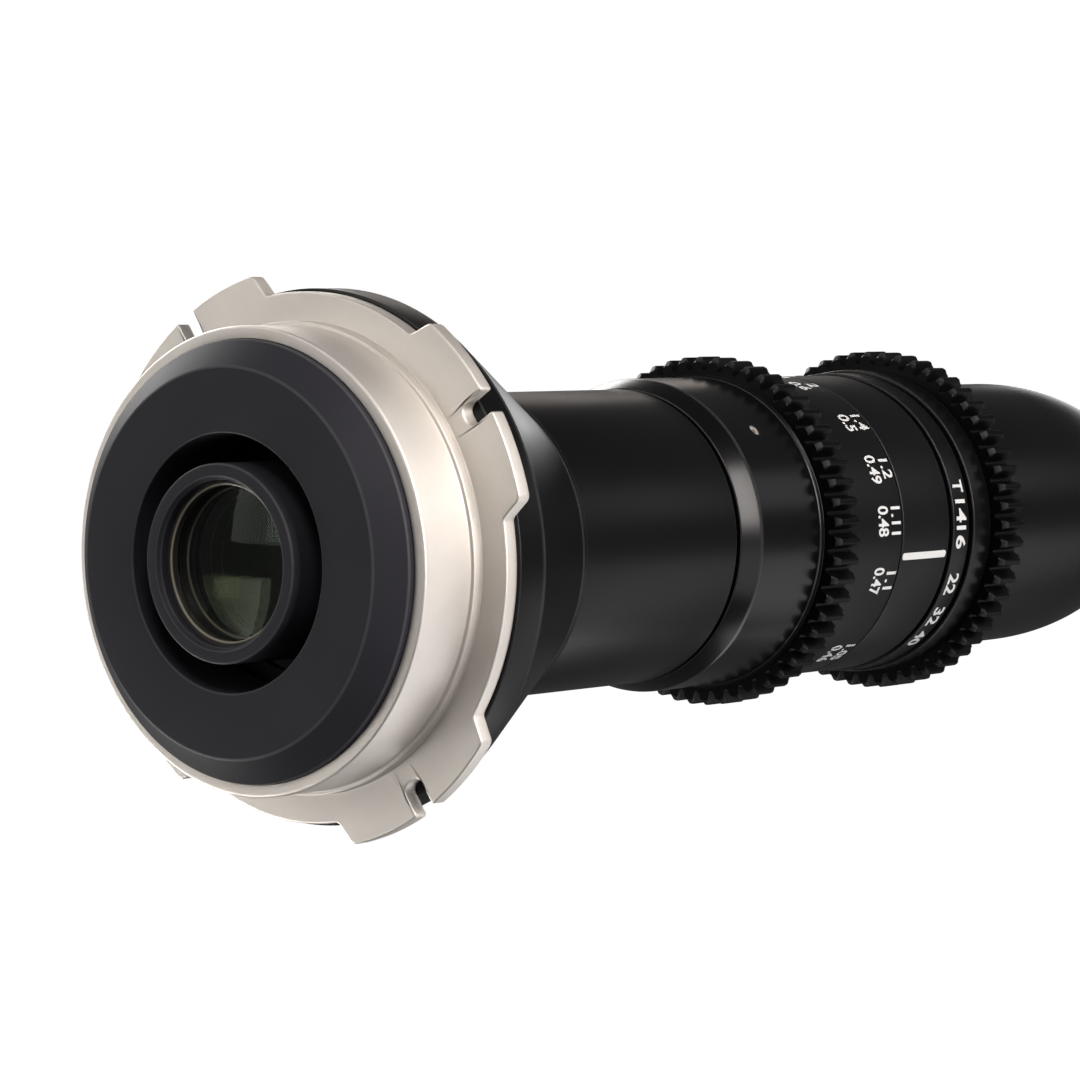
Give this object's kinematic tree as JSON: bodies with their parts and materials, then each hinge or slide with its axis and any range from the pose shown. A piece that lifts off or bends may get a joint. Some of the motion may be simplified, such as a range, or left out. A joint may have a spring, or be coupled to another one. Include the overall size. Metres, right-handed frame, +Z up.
{
  "type": "probe lens",
  "caption": "Long macro probe lens with a four-eared bayonet mount, geared focus and iris rings, coupled focus carriage and iris blades, and a thin lit probe.",
  "frame": {"origin": "on the optical axis, in the plane of the flange face that seats on the camera", "axes": "+X forward along the optical axis towards the probe's tip, +Z up, +Y to the left seen from behind the camera"},
  "size_m": [0.4139, 0.0654, 0.0654],
  "materials": {
    "mount_steel": "fine bead-blasted, warm grey, matte",
    "black_anodised": "black anodised over a fine blast, semi-matte",
    "bright_steel": "ground and polished",
    "sleeve_brass": "turned, greased",
    "blade_steel": "blackened spring steel, matte",
    "coated_glass": "polished, green and amber anti-reflection coating",
    "window_resin": "clear moulded resin",
    "circuit_board": "green solder mask",
    "light_chip": "yellow phosphor",
    "wire_insulation": "smooth"
  },
  "bodies": {
    "housing": {"lens_mount": "mount_steel", "mount_screws": "bright_steel", "rear_baffle": "black_anodised", "rear_cell": "black_anodised", "rear_retainer": "black_anodised", "rear_element": "coated_glass", "rear_spacer": "black_anodised", "rear_inner_element": "coated_glass", "mount_base": "black_anodised", "rear_barrel": "black_anodised", "main_tube": "black_anodised", "index_ring": "black_anodised", "index_screws": "bright_steel", "iris_base": "black_anodised", "iris_cover": "black_anodised", "front_housing": "black_anodised", "probe_tube": "black_anodised", "relay_tube": "black_anodised", "relay_lens_1": "coated_glass", "relay_lens_2": "coated_glass", "relay_lens_3": "coated_glass", "relay_lens_4": "coated_glass", "relay_lens_5": "coated_glass", "relay_spacer_1": "black_anodised", "relay_spacer_2": "black_anodised", "relay_spacer_3": "black_anodised", "relay_spacer_4": "black_anodised", "relay_lock_ring": "black_anodised", "objective_cell": "black_anodised", "front_element": "coated_glass", "objective_doublet": "coated_glass", "tip_bezel": "black_anodised", "light_board": "circuit_board", "light_chips": "light_chip", "light_window": "window_resin", "light_wires": "wire_insulation", "power_socket": "bright_steel", "power_board": "circuit_board"},
    "focus": {"focus_ring": "black_anodised", "focus_gear": "black_anodised", "scale_ring": "black_anodised", "cam_sleeve": "sleeve_brass", "focus_screws": "bright_steel"},
    "focus_carriage": {"focus_cell": "black_anodised", "focus_lens_1": "coated_glass", "focus_lens_2": "coated_glass", "focus_lens_spacer": "black_anodised", "focus_lock_ring": "black_anodised", "follower_pins": "bright_steel"},
    "aperture": {"aperture_ring": "black_anodised", "aperture_gear": "black_anodised", "drive_pin": "bright_steel", "iris_actuator": "sleeve_brass"},
    "blade_1": {"iris_blade_1": "blade_steel"},
    "blade_2": {"iris_blade_2": "blade_steel"},
    "blade_3": {"iris_blade_3": "blade_steel"},
    "blade_4": {"iris_blade_4": "blade_steel"},
    "blade_5": {"iris_blade_5": "blade_steel"},
    "blade_6": {"iris_blade_6": "blade_steel"},
    "blade_7": {"iris_blade_7": "blade_steel"}
  },
  "joints": [
    {"name": "focus_turn", "type": "hinge", "parent": "housing", "child": "focus", "pos_m": [0.075, 0, 0], "axis": [1, 0, 0], "range_deg": [-45, 95]},
    {"name": "focus_travel", "type": "slide", "parent": "housing", "child": "focus_carriage", "axis": [1, 0, 0], "range_m": [-0.00197, 0.00416]},
    {"name": "aperture_turn", "type": "hinge", "parent": "housing", "child": "aperture", "pos_m": [0.11, 0, 0], "axis": [1, 0, 0], "range_deg": [-38, 17]},
    {"name": "blade_1_swing", "type": "hinge", "parent": "housing", "child": "blade_1", "pos_m": [0.109, -0.00266, 0.01252], "axis": [1, 0, 0], "range_deg": [-6.1, 13.6]},
    {"name": "blade_2_swing", "type": "hinge", "parent": "housing", "child": "blade_2", "pos_m": [0.109, -0.01145, 0.00573], "axis": [1, 0, 0], "range_deg": [-6.1, 13.6]},
    {"name": "blade_3_swing", "type": "hinge", "parent": "housing", "child": "blade_3", "pos_m": [0.109, -0.01161, -0.00538], "axis": [1, 0, 0], "range_deg": [-6.1, 13.6]},
    {"name": "blade_4_swing", "type": "hinge", "parent": "housing", "child": "blade_4", "pos_m": [0.109, -0.00303, -0.01244], "axis": [1, 0, 0], "range_deg": [-6.1, 13.6]},
    {"name": "blade_5_swing", "type": "hinge", "parent": "housing", "child": "blade_5", "pos_m": [0.109, 0.00783, -0.01013], "axis": [1, 0, 0], "range_deg": [-6.1, 13.6]},
    {"name": "blade_6_swing", "type": "hinge", "parent": "housing", "child": "blade_6", "pos_m": [0.109, 0.0128, -0.00019], "axis": [1, 0, 0], "range_deg": [-6.1, 13.6]},
    {"name": "blade_7_swing", "type": "hinge", "parent": "housing", "child": "blade_7", "pos_m": [0.109, 0.00813, 0.00989], "axis": [1, 0, 0], "range_deg": [-6.1, 13.6]}
  ],
  "couplings": [
    {"joint": "focus_travel", "follows": "focus_turn", "m_per_rad": 0.0025},
    {"joint": "blade_1_swing", "follows": "aperture_turn", "ratio": -0.35},
    {"joint": "blade_2_swing", "follows": "aperture_turn", "ratio": -0.35},
    {"joint": "blade_3_swing", "follows": "aperture_turn", "ratio": -0.35},
    {"joint": "blade_4_swing", "follows": "aperture_turn", "ratio": -0.35},
    {"joint": "blade_5_swing", "follows": "aperture_turn", "ratio": -0.35},
    {"joint": "blade_6_swing", "follows": "aperture_turn", "ratio": -0.35},
    {"joint": "blade_7_swing", "follows": "aperture_turn", "ratio": -0.35}
  ]
}
